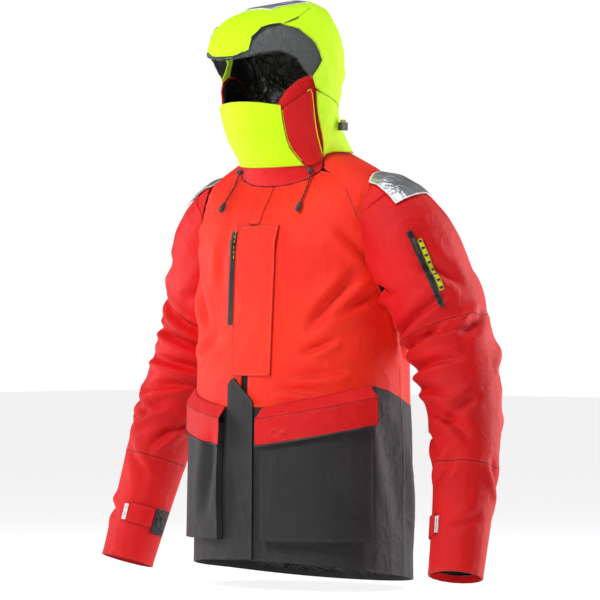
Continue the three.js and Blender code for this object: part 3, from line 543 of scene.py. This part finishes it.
# each fold: angle and run at both ends, then width and depth in millimetres, before the strength below
torsoFolds = [
    (40, -0.366, 61, -0.334, 9, 7), (72, -0.215, 43, -0.325, 15, 8), (84, -0.235, 58, -0.300, 12, 7),
    (22, -0.428, 52, -0.436, 8, 4), (34, -0.405, 66, -0.398, 9, 5), (96, -0.230, 104, -0.395, 16, 8),
    (-24, -0.330, -58, -0.395, 14, 6), (-62, -0.215, -38, -0.320, 15, 7), (-86, -0.245, -98, -0.400, 16, 8),
    (24, -0.100, 30, -0.255, 20, 5), (-22, -0.110, -28, -0.260, 20, 5), (8, -0.350, 30, -0.300, 13, 5),
    (150, -0.150, 165, -0.390, 22, 8), (205, -0.160, 190, -0.420, 22, 8), (128, -0.320, 178, -0.360, 14, 6),
    (228, -0.300, 192, -0.350, 14, 6), (86, -0.480, 96, -0.700, 18, 6), (112, -0.460, 122, -0.740, 22, 8),
    (-92, -0.480, -100, -0.700, 18, 6), (150, -0.470, 158, -0.760, 24, 8), (200, -0.470, 196, -0.770, 24, 8),
    (-22, -0.500, -30, -0.680, 18, 5), (60, -0.130, 78, -0.190, 12, 5), (-60, -0.130, -78, -0.190, 12, 5),
]
sleeveFolds = [
    (165, 0.285, 30, 0.245, 10, 9), (160, 0.320, 20, 0.325, 9, 8), (160, 0.355, 35, 0.385, 10, 9),
    (150, 0.395, 70, 0.450, 10, 7), (170, 0.120, 95, 0.215, 13, 10), (150, 0.080, 110, 0.170, 10, 8),
    (60, 0.150, 5, 0.245, 14, 6), (-20, 0.290, 40, 0.345, 12, 6), (120, 0.450, 40, 0.530, 13, 7),
    (20, 0.455, 95, 0.505, 12, 5), (60, 0.560, 130, 0.620, 13, 5), (-60, 0.200, -110, 0.330, 16, 8),
    (-80, 0.340, -30, 0.420, 14, 7), (-120, 0.420, -60, 0.520, 15, 7), (0, 0.560, -60, 0.640, 14, 5),
    (90, 0.330, 45, 0.300, 8, 5), (175, 0.470, 110, 0.560, 12, 6), (10, 0.670, 80, 0.700, 11, 4),
]
hoodFolds = [(150, 0.045, 105, 0.075, 9, 4), (130, 0.030, 95, 0.045, 8, 4), (-150, 0.045, -105, 0.075, 9, 4),
             (95, 0.150, 70, 0.215, 16, 4), (-95, 0.150, -70, 0.215, 16, 4), (165, 0.090, 120, 0.150, 14, 4),
             (-165, 0.090, -120, 0.150, 14, 4), (75, 0.075, 95, 0.110, 8, 4), (180, 0.180, 150, 0.240, 16, 3)]
foldTables = {"torso": torsoFolds, "sleeve": sleeveFolds, "hood": hoodFolds}
foldShape = {  # place across the fold, sharpness and height
    "strength": 1.85, "taper": 0.8, "nearCrest": (1.5, 1.2, 0.75), "farCrest": (-1.9, 0.8, 0.35),
    "valley": (0.0, 1.6, 0.9),
}


def crest(across, place, sharpness, height):
    return np.exp(-((across - place) ** 2) * sharpness) * height


def foldDepth(angle, run, girth, folds):
    total = np.zeros(len(angle))
    for fromAngle, fromRun, toAngle, toRun, width, depth in folds:
        middleAngle = math.radians((fromAngle + toAngle) / 2)
        turn = (angle - middleAngle + math.pi) % math.tau - math.pi
        start = np.array([(math.radians(fromAngle) - middleAngle) * girth, fromRun])
        stop = np.array([(math.radians(toAngle) - middleAngle) * girth, toRun])
        place = np.stack([turn * girth, run], axis=1) - start
        line = stop - start
        share = np.clip((place @ line) / (line @ line), 0, 1)
        aside = place - share[:, None] * line
        side = np.sign(place[:, 0] * line[1] - place[:, 1] * line[0])
        gap = np.linalg.norm(aside, axis=1) * 1000 / width
        taper = np.sin(np.pi * share) ** foldShape["taper"]
        ridge = crest(gap * side, *foldShape["nearCrest"]) + crest(gap * side, *foldShape["farCrest"])
        total += depth * taper * (ridge - crest(gap, *foldShape["valley"]))
    return total * foldShape["strength"] / 1000


print("hang and folds of the cloth set out")

# ---- the cloth simulation: one skin of the whole jacket, filled lightly and let go slack ----
bodyCloth = (bothSides("front_panel") + ["back_panel", "shoulder_yoke"] + bothSides("skirt_front")
             + ["skirt_back"] + bothSides("sleeve_upper", "sleeve_elbow", "sleeve_forearm"))
skinSettings = {
    "nodes": bodyCloth + ["hood_back", "hood_neck"],
    "edge": 0.014, "weld": 0.0012, "frames": 20, "pressure": 0.5, "slack": -0.06, "cap": 0.017,
    "quality": 5, "mass": 0.12, "stretch": 12, "shear": 4, "bend": 0.12, "airDrag": 2, "gravity": 0.25,
    "outwardShare": 0.25, "lightestPin": 0.02, "stillReach": 0.055,
    "still": ["main_zip_slider", "chest_zip_slider", "arm_zip_slider", "cord_eyelet_left",
              "cord_eyelet_right", "cord_lock", "cuff_tab_left", "cuff_tab_right", "hang_loop",
              "vision_window", "cheek_flap", "face_mask", "storm_flap"],
}


def nodeKind(name):
    if name.startswith(("sleeve", "inner_cuff", "cuff", "arm_zip", "shoulder_reflector")):
        return "sleeve"
    if name.startswith(("hood", "vision", "window")):
        return "hood"
    return "torso"


def nodeCopy(name):
    mesh = bmesh.new()
    mesh.from_mesh(frame["nodes"][name].data)
    bmesh.ops.remove_doubles(mesh, verts=mesh.verts, dist=2e-5)
    return mesh


def refine(mesh, longest):
    for _ in range(6):
        edges = [e for e in mesh.edges if e.calc_length() > longest]
        if not edges:
            break
        bmesh.ops.subdivide_edges(mesh, edges=edges, cuts=1)
        bmesh.ops.triangulate(mesh, faces=[f for f in mesh.faces if len(f.verts) > 3])


def placesOf(mesh):
    return np.array([v.co[:] for v in mesh.verts])


def surfaceAt(points, kind):
    return surfaceMaps[kind][0](points)


def makeSkin():
    whole = bpy.data.meshes.new("clothSkin")
    joined = bmesh.new()
    for name in skinSettings["nodes"]:
        mesh = nodeCopy(name)
        mesh.normal_update()
        middles = np.array([f.calc_center_median()[:] for f in mesh.faces])
        normals = np.array([f.normal[:] for f in mesh.faces])
        outward = surfaceAt(middles, nodeKind(name))[2]
        facing = (normals * outward).sum(axis=1)
        inner = [f for f, share in zip(mesh.faces, facing) if share < skinSettings["outwardShare"]]
        bmesh.ops.delete(mesh, geom=inner, context="FACES")
        part = bpy.data.meshes.new("skinPart")
        mesh.to_mesh(part)
        joined.from_mesh(part)
        mesh.free()
        bpy.data.meshes.remove(part)
    bmesh.ops.remove_doubles(joined, verts=joined.verts, dist=skinSettings["weld"])
    refine(joined, skinSettings["edge"])
    joined.to_mesh(whole)
    joined.free()
    return whole


def stillShare(points):
    share = np.ones(len(points))
    for name in skinSettings["still"]:
        low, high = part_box(name)
        gap = np.maximum(np.maximum(np.array(low) - points, points - np.array(high)), 0)
        reach = np.clip(np.linalg.norm(gap, axis=1) / skinSettings["stillReach"], 0, 1)
        share = np.minimum(share, reach * reach * (3 - 2 * reach))
    return share


def pinSkin(skin, rest):  # hems and what lies under a fitting are held
    still = stillShare(rest)
    mesh = bmesh.new()
    mesh.from_mesh(skin.data)
    hems = {v.index for e in mesh.edges if len(e.link_faces) != 2 for v in e.verts}
    mesh.free()
    pins = skin.vertex_groups.new(name="pins")
    for i in range(len(rest)):
        hold = 1.0 if i in hems else 1.0 - still[i]
        if hold > skinSettings["lightestPin"]:
            pins.add([i], hold, "REPLACE")


def simulateSkin():
    data = makeSkin()
    skin = bpy.data.objects.new("clothSkin", data)
    bpy.context.collection.objects.link(skin)
    rest = np.array([v.co[:] for v in data.vertices])
    pinSkin(skin, rest)
    cloth = skin.modifiers.new("cloth", "CLOTH")
    values = cloth.settings
    values.quality = skinSettings["quality"]
    values.mass = skinSettings["mass"]
    values.tension_stiffness = values.compression_stiffness = skinSettings["stretch"]
    values.shear_stiffness = skinSettings["shear"]
    values.bending_stiffness = skinSettings["bend"]
    values.air_damping = skinSettings["airDrag"]
    values.vertex_group_mass = "pins"
    values.shrink_min = skinSettings["slack"]
    values.use_pressure = True
    values.uniform_pressure_force = skinSettings["pressure"]
    values.effector_weights.gravity = skinSettings["gravity"]
    cloth.collision_settings.use_collision = False
    cloth.point_cache.frame_end = skinSettings["frames"]
    scene = bpy.context.scene
    for step in range(1, skinSettings["frames"] + 1):
        scene.frame_set(step)
    shape = skin.evaluated_get(bpy.context.evaluated_depsgraph_get()).to_mesh()
    moved = np.array([v.co[:] for v in shape.vertices]) - rest
    skin.evaluated_get(bpy.context.evaluated_depsgraph_get()).to_mesh_clear()
    bpy.data.objects.remove(skin)
    scene.frame_set(1)
    length = np.linalg.norm(moved, axis=1) + 1e-9
    moved *= np.minimum(1, skinSettings["cap"] / length)[:, None]
    print("cloth simulated:", len(rest), "points, moved up to", round(float(length.max()) * 1000, 1), "mm")
    return rest, moved


skinTree, skinMoved = None, None
skinRest, skinMoved = simulateSkin()
skinTree = kdtree.KDTree(len(skinRest))
for i, place in enumerate(skinRest):
    skinTree.insert(place, i)
skinTree.balance()

endSettings = {  # metres over which folds die away where one part of the jacket meets the next
    "shoulderStart": 0.03, "shoulderFade": 0.05, "cuffFade": 0.04, "cuffLeast": 0.25, "crownFade": 0.06,
    "yokeHeight": -0.075, "yokeFade": 0.05, "sideMargin": 0.012, "sideFade": 0.02,
}
driftSettings = {"neighbours": 5, "blur": 1e-5, "reach": 0.05, "fade": 0.03}


def endShare(points, kind, run):
    ends = endSettings
    if kind == "sleeve":
        shoulder = np.clip((run - ends["shoulderStart"]) / ends["shoulderFade"], 0, 1)
        return shoulder * np.clip((sleeveLength - run) / ends["cuffFade"], ends["cuffLeast"], 1)
    if kind == "hood":
        return np.clip((highCorner.z - points[:, 2]) / ends["crownFade"], 0, 1)
    side = np.abs(points[:, 0])
    high = np.clip((ends["yokeHeight"] - points[:, 2]) / ends["yokeFade"], 0, 1)
    return high * np.clip((torsoHigh[0] + ends["sideMargin"] - side) / ends["sideFade"], 0, 1)


def hang(points, kind):
    girth = surfaceMaps[kind][1]
    angle, run, normal = surfaceAt(points, kind)
    fade = stillShare(points)
    depth = foldDepth(angle, run, girth, foldTables[kind]) * fade * endShare(points, kind, run)
    moved = points + normal * depth[:, None]
    if skinTree is None:
        return moved
    drift = np.zeros_like(points)
    for i, place in enumerate(points):
        near = skinTree.find_n(Vector(place), driftSettings["neighbours"])
        weights = np.array([1 / (d * d + driftSettings["blur"]) for _, _, d in near])
        reach = min(1.0, max(0.0, 1 - (near[0][2] - driftSettings["reach"]) / driftSettings["fade"]))
        drift[i] = weights @ skinMoved[[k for _, k, _ in near]] / weights.sum() * reach
    return moved + drift * np.minimum(fade, 1)[:, None]


def clothUv(data, kind):
    points = np.empty(len(data.vertices) * 3)
    data.vertices.foreach_get("co", points)
    angle, run, _ = surfaceAt(points.reshape(-1, 3), kind)
    corner = np.empty(len(data.loops), dtype=int)
    data.loops.foreach_get("vertex_index", corner)
    turns = angle[corner]
    starts = np.empty(len(data.polygons), dtype=int)
    data.polygons.foreach_get("loop_start", starts)
    totals = np.empty(len(data.polygons), dtype=int)
    data.polygons.foreach_get("loop_total", totals)
    first = np.repeat(turns[starts], totals)
    turns = first + (turns - first + math.pi) % math.tau - math.pi
    layer = data.uv_layers.new(name="cloth")
    flat = np.stack([turns * surfaceMaps[kind][1], run[corner]], axis=1).ravel()
    layer.data.foreach_set("uv", flat)


turnedAngle = 0.9  # radians past which an edge counts as turned or cut
farFromRim = 0.05


def isTurned(edge):
    return len(edge.link_faces) == 2 and edge.calc_face_angle(0) > turnedAngle


def turnedPoints(mesh):
    return {v for e in mesh.edges if isTurned(e) for v in e.verts}


def rimDistances(mesh):  # metres from each point to the nearest turned edge of its piece
    turned = turnedPoints(mesh)
    if not turned:
        return np.full(len(mesh.verts), farFromRim)
    tree = kdtree.KDTree(len(turned))
    for i, vertex in enumerate(sorted(turned, key=lambda v: v.index)):
        tree.insert(vertex.co, i)
    tree.balance()
    return np.array([tree.find(v.co)[2] for v in mesh.verts])


def finishPiece(name, mesh, kind, finish, nodes, body, worn=True):
    mesh.verts.index_update()
    mesh.edges.index_update()
    distances = rimDistances(mesh) if worn else np.full(len(mesh.verts), farFromRim)
    data = bpy.data.meshes.new(name)
    for edge in mesh.edges:
        edge.smooth = not isTurned(edge)
    mesh.to_mesh(data)
    mesh.free()
    data.polygons.foreach_set("use_smooth", [True] * len(data.polygons))
    layer = data.attributes.new("rimDistance", "FLOAT", "POINT")
    layer.data.foreach_set("value", distances)
    clothUv(data, kind)
    piece = bpy.data.objects.new(name, data)
    bpy.context.collection.objects.link(piece)
    data.materials.append(finishes[finish])
    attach(piece, body)
    if nodes:
        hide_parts(*nodes)
    return piece


ribSettings = {"height": 0.0006, "pitch": 0.0042, "edge": 0.0016}


def press(mesh, node):  # an empty pocket lies nearly flat on the skirt
    wall = nodeCopy("skirt_front_" + node.split("_")[-1])
    upper = nodeCopy("front_panel_" + node.split("_")[-1])
    part = bpy.data.meshes.new("pressPart")
    upper.to_mesh(part)
    wall.from_mesh(part)
    tree = BVHTree.FromBMesh(wall)
    for vertex in mesh.verts:
        near = tree.find_nearest(vertex.co)[0]
        gap = vertex.co - near
        spare = gap.length - pressedThickness
        if spare > 0:
            vertex.co = near + gap.normalized() * (pressedThickness + spare * pocketPress[node])
    wall.free()
    upper.free()
    bpy.data.meshes.remove(part)


def clothPiece(node, edge=0.009, smooth=7):
    kind = nodeKind(node)
    mesh = nodeCopy(node)
    refine(mesh, edge)
    mesh.normal_update()
    turned = turnedPoints(mesh)
    free = [v for v in mesh.verts if v not in turned]
    for _ in range(smooth if free else 0):
        bmesh.ops.smooth_vert(mesh, verts=free, factor=0.5, use_axis_x=True, use_axis_y=True, use_axis_z=True)
    if node in pocketPress:
        press(mesh, node)
    for vertex, place in zip(mesh.verts, hang(placesOf(mesh), kind)):
        vertex.co = place
    if node.startswith("cuff_gusset"):  # the elastic stands in fine ribs
        points = placesOf(mesh)
        _, run, normal = surfaceAt(points, kind)
        ribs = ribSettings["height"] * np.sin(run * math.tau / ribSettings["pitch"])
        for vertex, place in zip(mesh.verts, points + normal * ribs[:, None]):
            vertex.co = place
    return finishPiece("cloth_" + node, mesh, kind, nodeSlot[node], [node], nodeBody[node])


wideCloth = (bodyCloth + bothSides("cargo_pocket", "pocket_flap")
             + ["hood_peak", "hood_back", "hood_neck", "collar", "storm_flap", "face_mask", "cheek_flap",
                "placket_strip"])
innerCloth = (["body_lining", "collar_lining", "hood_lining"] + bothSides("inner_cuff")
              + ["vision_window", "window_binding"])
smallCloth = (bothSides("cuff_tab", "cuff_tab_grip", "cuff_gusset", "shoulder_reflector")
              + ["arm_zip", "arm_zip_tape", "main_zip", "chest_zip", "hood_reflector"])
for node in wideCloth:
    clothPiece(node)
print("shell cloth hung")
for node in innerCloth:
    clothPiece(node, 0.014, 5)
for node in smallCloth:
    ribbed = node.startswith("cuff_gusset")
    clothPiece(node, ribSettings["edge"] if ribbed else 0.006, 0 if ribbed else 3)
print("linings, tabs, reflectors and zips laid on")

# ---- piping, bindings, zip teeth and printed dashes ----


pathSettings = {"edge": 0.005, "outerShare": 0.3, "lift": 0.0005}


def edgePath(node, along, sign, span, count):  # the outermost points along one edge of a piece
    kind = nodeKind(node)
    mesh = nodeCopy(node)
    refine(mesh, pathSettings["edge"])
    if node in pocketPress:
        press(mesh, node)
    points = placesOf(mesh)
    mesh.free()
    angle, run, normal = surfaceAt(points, kind)
    turn = np.degrees(angle)
    key, value = (turn, run) if along == "angle" else (run, angle * surfaceMaps[kind][1])
    outer = (points * normal).sum(axis=1)
    chosen = []
    steps = np.linspace(span[0], span[1], count + 1)
    for start, stop in zip(steps, steps[1:]):
        inside = np.flatnonzero((key >= min(start, stop)) & (key <= max(start, stop)))
        if len(inside):
            score = sign * value[inside] + pathSettings["outerShare"] * outer[inside]
            chosen.append(inside[np.argmax(score)])
    places = hang(points[chosen], kind) + normal[chosen] * pathSettings["lift"]
    return [Vector(p) for p in places]


def tubePiece(name, route, radius, finish, body, kind):
    for _ in range(2):
        inner = [(a + b * 2 + c) / 4 for a, b, c in zip(route, route[1:], route[2:])]
        route = [route[0]] + inner + [route[-1]]
    holder = tubeCurve(name, route, radius, 2)
    shape = bpy.data.meshes.new_from_object(holder.evaluated_get(bpy.context.evaluated_depsgraph_get()))
    bpy.data.objects.remove(holder)
    mesh = bmesh.new()
    mesh.from_mesh(shape)
    bpy.data.meshes.remove(shape)
    return finishPiece(name, mesh, kind, finish, [], body, worn=False)


trims = [  # name, node, direction and side of the edge, its span, points, radius and finish
    ("cheekTopPiping", "cheek_flap", "angle", 1, (44, 72.5), 22, 0.0011, "yellow_trim"),
    ("cheekFrontPiping", "cheek_flap", "run", -1, (-0.008, 0.088), 26, 0.0011, "yellow_trim"),
    ("collarTopPiping", "collar", "angle", 1, (-100, -38), 30, 0.0011, "yellow_trim"),
    ("flapBindingLeft", "pocket_flap_left", "angle", -1, (10.5, 74.5), 40, 0.0019, "zip_black"),
    ("flapBindingRight", "pocket_flap_right", "angle", -1, (-10.5, -74.5), 40, 0.0019, "zip_black"),
    ("hoodNeckPiping", "hood_neck", "angle", -1, (80, 178), 44, 0.001, "yellow_trim"),
    ("hoodNeckPipingFar", "hood_neck", "angle", -1, (-80, -178), 44, 0.001, "yellow_trim"),
    ("brimPiping", "hood_peak", "angle", -1, (-62, 62), 44, 0.001, "zip_black"),
    ("armholeSeamLeft", "sleeve_upper_left", "angle", -1, (-180, 180), 64, 0.0026, "shell_red"),
    ("armholeSeamRight", "sleeve_upper_right", "angle", -1, (-180, 180), 64, 0.0026, "shell_red"),
    ("yokeSeamLeft", "front_panel_left", "run", 1, (-0.064, -0.010), 12, 0.0042, "shell_orange"),
    ("yokeSeamRight", "front_panel_right", "run", -1, (-0.064, -0.010), 12, 0.0042, "shell_orange"),
]
for name, node, along, sign, span, count, radius, finish in trims:
    route = edgePath(node, along, sign, span, count)
    if len(route) > 3:
        tubePiece(name, route, radius, finish, nodeBody[node], nodeKind(node))


garageSettings = {"halfWidth": 0.0145, "clear": 0.0022, "lift": 0.0016, "wall": 0.0012, "edgeX": 0.0108,
                  "rows": 12, "step": 0.0005}


def makeZipGarage():  # fixed cloth that closes the zip slot between the storm flap and the collar
    settings = garageSettings
    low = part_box("storm_flap")[1][2] + settings["clear"]
    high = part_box("collar")[0][2]
    walls = bmesh.new()
    for side in ("left", "right"):
        walls.from_mesh(frame["nodes"]["front_panel_" + side].data)
    tree = BVHTree.FromBMesh(walls)

    def clothAt(x, z):
        return tree.ray_cast(Vector((x, -0.5, z)), Vector((0, 1, 0)))[0]

    seats = [sign * settings[key] for key in ("halfWidth", "edgeX") for sign in (-1, 1)]
    while not all(clothAt(x, high) for x in seats):
        high -= settings["step"]  # the rows end where the front panels do
    mesh = bmesh.new()
    bmesh.ops.create_grid(mesh, x_segments=6, y_segments=settings["rows"], size=1)
    for vertex in mesh.verts:
        x, share = vertex.co.x * settings["halfWidth"], (vertex.co.y + 1) / 2
        z = low + (high - low) * share
        seat = math.copysign(max(abs(x), settings["edgeX"]), x or 1)
        vertex.co = (x, clothAt(seat, z).y - settings["lift"], z)
    walls.free()
    bmesh.ops.recalc_face_normals(mesh, faces=mesh.faces)
    bmesh.ops.solidify(mesh, geom=mesh.faces[:], thickness=settings["wall"])
    return finishPiece("zipGarage", mesh, "torso", "shell_orange", [], nodeBody["collar"])


makeZipGarage()


rowSettings = {"edge": 0.004, "window": 0.006, "blur": 0.003, "rise": 0.6}


def middleRow(node, pitch, span, aside):  # evenly spaced places down the middle of a tape
    kind = nodeKind(node)
    mesh = nodeCopy(node)
    refine(mesh, rowSettings["edge"])
    points = placesOf(mesh)
    mesh.free()
    angle, run, normal = surfaceAt(points, kind)
    low, high = run.min(), run.max()
    wide = (high - low) * (span[1] - span[0])
    steps = np.linspace(low + (high - low) * span[0], low + (high - low) * span[1], int(wide / pitch) + 1)
    outer = (points * normal).sum(axis=1)
    row = []
    for step in steps:
        near = np.flatnonzero(np.abs(run - step) < rowSettings["window"])
        weights = np.exp(-((run[near] - step) / rowSettings["blur"]) ** 2) + 1e-6
        place = (points[near] * weights[:, None]).sum(axis=0) / weights.sum()
        way = (normal[near] * weights[:, None]).sum(axis=0)
        way /= np.linalg.norm(way)
        rise = outer[near].max() - (outer[near] * weights).sum() / weights.sum()
        row.append((place + way * rise * rowSettings["rise"], way))
    places = hang(np.array([p for p, _ in row]), kind)
    result = []
    for i, (place, (_, way)) in enumerate(zip(places, row)):
        ahead = Vector(places[min(i + 1, len(row) - 1)] - places[max(i - 1, 0)]).normalized()
        out = Vector(way)
        cross = ahead.cross(out).normalized()
        result.append((Vector(place) + cross * aside, cross, ahead, cross.cross(ahead).normalized()))
    return result


def rowPiece(name, node, pitch, size, finish, span, stagger=0.0, aside=0.0):
    mesh = bmesh.new()
    for i, (place, cross, ahead, out) in enumerate(middleRow(node, pitch, span, aside)):
        block = bmesh.ops.create_cube(mesh, size=1)["verts"]
        shift = stagger * (1 if i % 2 else -1)
        for vertex in block:
            x, y, z = vertex.co
            vertex.co = (place + cross * (x * size[0] + shift) + ahead * (y * size[1])
                         + out * (z * size[2]))
    bmesh.ops.bevel(mesh, geom=mesh.edges[:], offset=min(size) * 0.22, affect="EDGES", segments=1,
                    profile=0.5, material=-1)
    return finishPiece(name, mesh, nodeKind(node), finish, [], nodeBody[node], worn=False)


rowPiece("chestZipTeeth", "chest_zip", 0.0026, (0.0030, 0.0014, 0.0009), "rubber_black", (0.01, 0.99), 0.0008)
rowPiece("armZipTeeth", "arm_zip", 0.0028, (0.0034, 0.0015, 0.0010), "rubber_black", (0.01, 0.99), 0.0009)
rowPiece("armTapeDashes", "arm_zip_tape", 0.0125, (0.0062, 0.0042, 0.0006), "zip_black", (0.04, 0.96))
rowPiece("chestZipDashes", "chest_zip", 0.0085, (0.0022, 0.0046, 0.0006), "yellow_trim", (0.72, 0.99),
         aside=0.006)
print("piping, zip teeth and dashes added")

# ---- small fittings keep their shape and take a moulded finish ----
for node in (["main_zip_slider", "chest_zip_slider", "arm_zip_slider"] + bothSides("cord_end", "cord_eyelet")
             + ["cord_lock", "cord_lock_button", "hang_loop"]):
    target = frame["nodes"][node]
    for holder in target.material_slots:
        holder.link = "OBJECT"
        holder.material = finishes[nodeSlot[node]]
print("fittings finished")

# ---- floor ----


def makeFloor():
    mesh = bmesh.new()
    bmesh.ops.create_grid(mesh, x_segments=1, y_segments=1, size=studio["floorSize"])
    bmesh.ops.translate(mesh, verts=mesh.verts, vec=(0, 0, lowCorner.z - studio["floorGap"]))
    data = bpy.data.meshes.new("studioFloor")
    mesh.to_mesh(data)
    mesh.free()
    floor = bpy.data.objects.new("studioFloor", data)
    bpy.context.collection.objects.link(floor)
    pale, _, shader = bareMaterial("paleFloor", studio["floorColour"], 0.95)
    shader.inputs["Emission Color"].default_value = (1, 1, 1, 1)
    shader.inputs["Emission Strength"].default_value = studio["floorGlow"]
    shader.inputs["Specular IOR Level"].default_value = 0.0
    data.materials.append(pale)


makeFloor()
